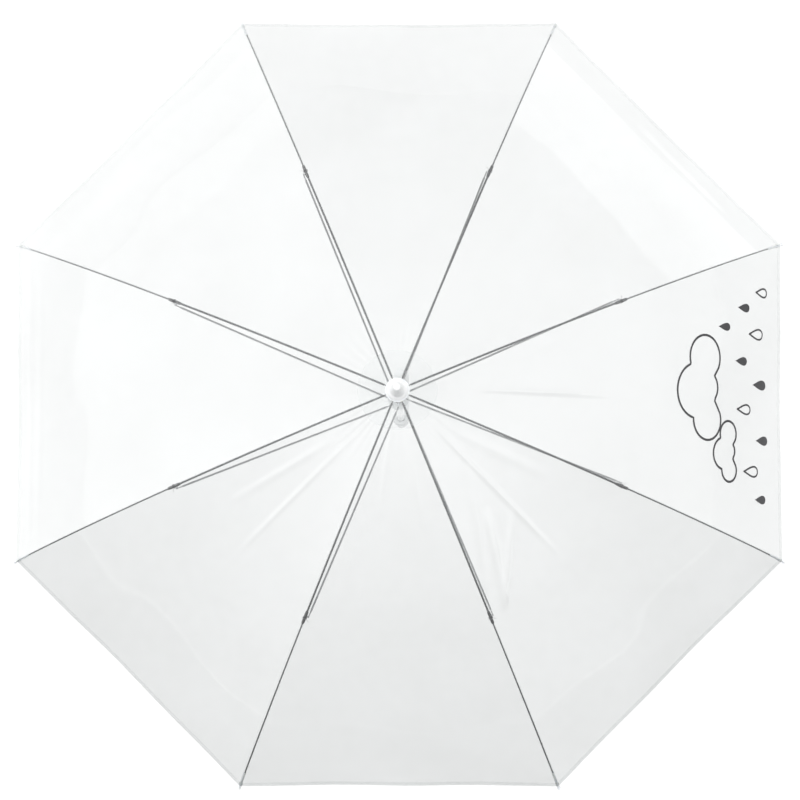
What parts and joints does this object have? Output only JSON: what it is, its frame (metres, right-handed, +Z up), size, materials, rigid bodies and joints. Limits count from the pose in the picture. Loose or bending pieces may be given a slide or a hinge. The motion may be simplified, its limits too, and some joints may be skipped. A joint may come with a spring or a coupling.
{
  "type": "umbrella",
  "caption": "Open clear-film dome umbrella with folding steel ribs and stretchers, a sliding runner with spring catches, and a crook handle.",
  "frame": {"origin": "middle of the handle's straight grip, on the shaft's axis", "axes": "+Z up the shaft towards the crown; +Y the way the crook points; the spring catches stand on +X"},
  "size_m": [0.9288, 0.9288, 0.7865],
  "materials": {
    "clear_film": "clear glossy vinyl film",
    "white_plastic": "moulded, satin gloss",
    "shaft_enamel": "white enamelled steel tube",
    "rib_steel": "dark plated, pressed channel",
    "bright_steel": "drawn wire, nickel plated",
    "joint_plastic": "moulded black sleeve",
    "milky_plastic": "translucent moulded plastic"
  },
  "bodies": {
    "shaft": {"shaft_tube": "shaft_enamel", "runner_stop_pin": "bright_steel", "crown": "white_plastic", "crown_wire": "bright_steel", "cap_washer": "milky_plastic", "ferrule": "white_plastic", "crook_handle": "white_plastic"},
    "runner": {"runner": "white_plastic", "runner_wire": "bright_steel"},
    "rib_1": {"rib_inner_1": "rib_steel", "rib_joint_1": "joint_plastic", "rib_outer_1": "bright_steel", "rib_tip_1": "milky_plastic"},
    "rib_2": {"rib_inner_2": "rib_steel", "rib_joint_2": "joint_plastic", "rib_outer_2": "bright_steel", "rib_tip_2": "milky_plastic"},
    "rib_3": {"rib_inner_3": "rib_steel", "rib_joint_3": "joint_plastic", "rib_outer_3": "bright_steel", "rib_tip_3": "milky_plastic"},
    "rib_4": {"rib_inner_4": "rib_steel", "rib_joint_4": "joint_plastic", "rib_outer_4": "bright_steel", "rib_tip_4": "milky_plastic"},
    "rib_5": {"rib_inner_5": "rib_steel", "rib_joint_5": "joint_plastic", "rib_outer_5": "bright_steel", "rib_tip_5": "milky_plastic"},
    "rib_6": {"rib_inner_6": "rib_steel", "rib_joint_6": "joint_plastic", "rib_outer_6": "bright_steel", "rib_tip_6": "milky_plastic"},
    "rib_7": {"rib_inner_7": "rib_steel", "rib_joint_7": "joint_plastic", "rib_outer_7": "bright_steel", "rib_tip_7": "milky_plastic"},
    "rib_8": {"rib_inner_8": "rib_steel", "rib_joint_8": "joint_plastic", "rib_outer_8": "bright_steel", "rib_tip_8": "milky_plastic"},
    "stretcher_1": {"stretcher_1": "rib_steel"},
    "stretcher_2": {"stretcher_2": "rib_steel"},
    "stretcher_3": {"stretcher_3": "rib_steel"},
    "stretcher_4": {"stretcher_4": "rib_steel"},
    "stretcher_5": {"stretcher_5": "rib_steel"},
    "stretcher_6": {"stretcher_6": "rib_steel"},
    "stretcher_7": {"stretcher_7": "rib_steel"},
    "stretcher_8": {"stretcher_8": "rib_steel"},
    "panel_1": {"canopy_panel_1": "clear_film"},
    "panel_2": {"canopy_panel_2": "clear_film"},
    "panel_3": {"canopy_panel_3": "clear_film"},
    "panel_4": {"canopy_panel_4": "clear_film"},
    "panel_5": {"canopy_panel_5": "clear_film"},
    "panel_6": {"canopy_panel_6": "clear_film"},
    "panel_7": {"canopy_panel_7": "clear_film"},
    "panel_8": {"canopy_panel_8": "clear_film"},
    "upper_catch": {"upper_catch": "bright_steel"},
    "lower_catch": {"lower_catch": "bright_steel"}
  },
  "joints": [
    {"name": "runner_slide", "type": "slide", "parent": "shaft", "child": "runner", "axis": [0, 0, -1], "range_m": [0, 0.369], "deforming": ["canopy_panel_1", "canopy_panel_2", "canopy_panel_3", "canopy_panel_4", "canopy_panel_5", "canopy_panel_6", "canopy_panel_7", "canopy_panel_8", "upper_catch", "lower_catch"]},
    {"name": "rib_hinge_1", "type": "hinge", "parent": "shaft", "child": "rib_1", "pos_m": [0.00831, 0.00344, 0.66], "axis": [-0.3827, 0.9239, 0], "range_deg": [0, 61.21]},
    {"name": "rib_hinge_2", "type": "hinge", "parent": "shaft", "child": "rib_2", "pos_m": [0.00344, 0.00831, 0.66], "axis": [-0.9239, 0.3827, 0], "range_deg": [0, 61.21]},
    {"name": "rib_hinge_3", "type": "hinge", "parent": "shaft", "child": "rib_3", "pos_m": [-0.00344, 0.00831, 0.66], "axis": [-0.9239, -0.3827, 0], "range_deg": [0, 61.21]},
    {"name": "rib_hinge_4", "type": "hinge", "parent": "shaft", "child": "rib_4", "pos_m": [-0.00831, 0.00344, 0.66], "axis": [-0.3827, -0.9239, 0], "range_deg": [0, 61.21]},
    {"name": "rib_hinge_5", "type": "hinge", "parent": "shaft", "child": "rib_5", "pos_m": [-0.00831, -0.00344, 0.66], "axis": [0.3827, -0.9239, 0], "range_deg": [0, 61.21]},
    {"name": "rib_hinge_6", "type": "hinge", "parent": "shaft", "child": "rib_6", "pos_m": [-0.00344, -0.00831, 0.66], "axis": [0.9239, -0.3827, 0], "range_deg": [0, 61.21]},
    {"name": "rib_hinge_7", "type": "hinge", "parent": "shaft", "child": "rib_7", "pos_m": [0.00344, -0.00831, 0.66], "axis": [0.9239, 0.3827, 0], "range_deg": [0, 61.21]},
    {"name": "rib_hinge_8", "type": "hinge", "parent": "shaft", "child": "rib_8", "pos_m": [0.00831, -0.00344, 0.66], "axis": [0.3827, 0.9239, 0], "range_deg": [0, 61.21]},
    {"name": "stretcher_hinge_1", "type": "hinge", "parent": "runner", "child": "stretcher_1", "pos_m": [0.00781, 0.00702, 0.482], "axis": [0.3827, -0.9239, 0], "range_deg": [0, 54.8]},
    {"name": "stretcher_hinge_2", "type": "hinge", "parent": "runner", "child": "stretcher_2", "pos_m": [0.00055, 0.01049, 0.482], "axis": [0.9239, -0.3827, 0], "range_deg": [0, 54.8]},
    {"name": "stretcher_hinge_3", "type": "hinge", "parent": "runner", "child": "stretcher_3", "pos_m": [-0.00702, 0.00781, 0.482], "axis": [0.9239, 0.3827, 0], "range_deg": [0, 54.8]},
    {"name": "stretcher_hinge_4", "type": "hinge", "parent": "runner", "child": "stretcher_4", "pos_m": [-0.01049, 0.00055, 0.482], "axis": [0.3827, 0.9239, 0], "range_deg": [0, 54.8]},
    {"name": "stretcher_hinge_5", "type": "hinge", "parent": "runner", "child": "stretcher_5", "pos_m": [-0.00781, -0.00702, 0.482], "axis": [-0.3827, 0.9239, 0], "range_deg": [0, 54.8]},
    {"name": "stretcher_hinge_6", "type": "hinge", "parent": "runner", "child": "stretcher_6", "pos_m": [-0.00055, -0.01049, 0.482], "axis": [-0.9239, 0.3827, 0], "range_deg": [0, 54.8]},
    {"name": "stretcher_hinge_7", "type": "hinge", "parent": "runner", "child": "stretcher_7", "pos_m": [0.00702, -0.00781, 0.482], "axis": [-0.9239, -0.3827, 0], "range_deg": [0, 54.8]},
    {"name": "stretcher_hinge_8", "type": "hinge", "parent": "runner", "child": "stretcher_8", "pos_m": [0.01049, -0.00055, 0.482], "axis": [-0.3827, -0.9239, 0], "range_deg": [0, 54.8]},
    {"name": "panel_fold_1", "type": "hinge", "parent": "rib_1", "child": "panel_1", "pos_m": [0.00689, 0.00689, 0.66], "axis": [-0.6205, -0.6205, -0.4796], "range_deg": [0, 44.94]},
    {"name": "panel_fold_2", "type": "hinge", "parent": "rib_2", "child": "panel_2", "pos_m": [0, 0.00974, 0.66], "axis": [0, -0.8775, -0.4796], "range_deg": [0, 44.94]},
    {"name": "panel_fold_3", "type": "hinge", "parent": "rib_3", "child": "panel_3", "pos_m": [-0.00689, 0.00689, 0.66], "axis": [0.6205, -0.6205, -0.4796], "range_deg": [0, 44.94]},
    {"name": "panel_fold_4", "type": "hinge", "parent": "rib_4", "child": "panel_4", "pos_m": [-0.00974, 0, 0.66], "axis": [0.8775, 0, -0.4796], "range_deg": [0, 44.94]},
    {"name": "panel_fold_5", "type": "hinge", "parent": "rib_5", "child": "panel_5", "pos_m": [-0.00689, -0.00689, 0.66], "axis": [0.6205, 0.6205, -0.4796], "range_deg": [0, 44.94]},
    {"name": "panel_fold_6", "type": "hinge", "parent": "rib_6", "child": "panel_6", "pos_m": [0, -0.00974, 0.66], "axis": [0, 0.8775, -0.4796], "range_deg": [0, 44.94]},
    {"name": "panel_fold_7", "type": "hinge", "parent": "rib_7", "child": "panel_7", "pos_m": [0.00689, -0.00689, 0.66], "axis": [-0.6205, 0.6205, -0.4796], "range_deg": [0, 44.94]},
    {"name": "panel_fold_8", "type": "hinge", "parent": "rib_8", "child": "panel_8", "pos_m": [0.00974, 0, 0.66], "axis": [-0.8775, 0, -0.4796], "range_deg": [0, 44.94]},
    {"name": "upper_catch_press", "type": "hinge", "parent": "shaft", "child": "upper_catch", "pos_m": [0.0023, 0, 0.411], "axis": [0, -1, 0], "range_deg": [0, 5], "stiffness_Nm_per_rad": 0.4},
    {"name": "lower_catch_press", "type": "hinge", "parent": "shaft", "child": "lower_catch", "pos_m": [0.0023, 0, 0.067], "axis": [0, -1, 0], "range_deg": [0, 5], "stiffness_Nm_per_rad": 0.4}
  ],
  "couplings": [
    {"joint": "rib_hinge_1", "follows": "runner_slide", "rad_per_m": 2.8953},
    {"joint": "rib_hinge_2", "follows": "runner_slide", "rad_per_m": 2.8953},
    {"joint": "rib_hinge_3", "follows": "runner_slide", "rad_per_m": 2.8953},
    {"joint": "rib_hinge_4", "follows": "runner_slide", "rad_per_m": 2.8953},
    {"joint": "rib_hinge_5", "follows": "runner_slide", "rad_per_m": 2.8953},
    {"joint": "rib_hinge_6", "follows": "runner_slide", "rad_per_m": 2.8953},
    {"joint": "rib_hinge_7", "follows": "runner_slide", "rad_per_m": 2.8953},
    {"joint": "rib_hinge_8", "follows": "runner_slide", "rad_per_m": 2.8953},
    {"joint": "stretcher_hinge_1", "follows": "runner_slide", "rad_per_m": 2.592},
    {"joint": "stretcher_hinge_2", "follows": "runner_slide", "rad_per_m": 2.592},
    {"joint": "stretcher_hinge_3", "follows": "runner_slide", "rad_per_m": 2.592},
    {"joint": "stretcher_hinge_4", "follows": "runner_slide", "rad_per_m": 2.592},
    {"joint": "stretcher_hinge_5", "follows": "runner_slide", "rad_per_m": 2.592},
    {"joint": "stretcher_hinge_6", "follows": "runner_slide", "rad_per_m": 2.592},
    {"joint": "stretcher_hinge_7", "follows": "runner_slide", "rad_per_m": 2.592},
    {"joint": "stretcher_hinge_8", "follows": "runner_slide", "rad_per_m": 2.592},
    {"joint": "panel_fold_1", "follows": "runner_slide", "rad_per_m": 2.1257},
    {"joint": "panel_fold_2", "follows": "runner_slide", "rad_per_m": 2.1257},
    {"joint": "panel_fold_3", "follows": "runner_slide", "rad_per_m": 2.1257},
    {"joint": "panel_fold_4", "follows": "runner_slide", "rad_per_m": 2.1257},
    {"joint": "panel_fold_5", "follows": "runner_slide", "rad_per_m": 2.1257},
    {"joint": "panel_fold_6", "follows": "runner_slide", "rad_per_m": 2.1257},
    {"joint": "panel_fold_7", "follows": "runner_slide", "rad_per_m": 2.1257},
    {"joint": "panel_fold_8", "follows": "runner_slide", "rad_per_m": 2.1257}
  ]
}
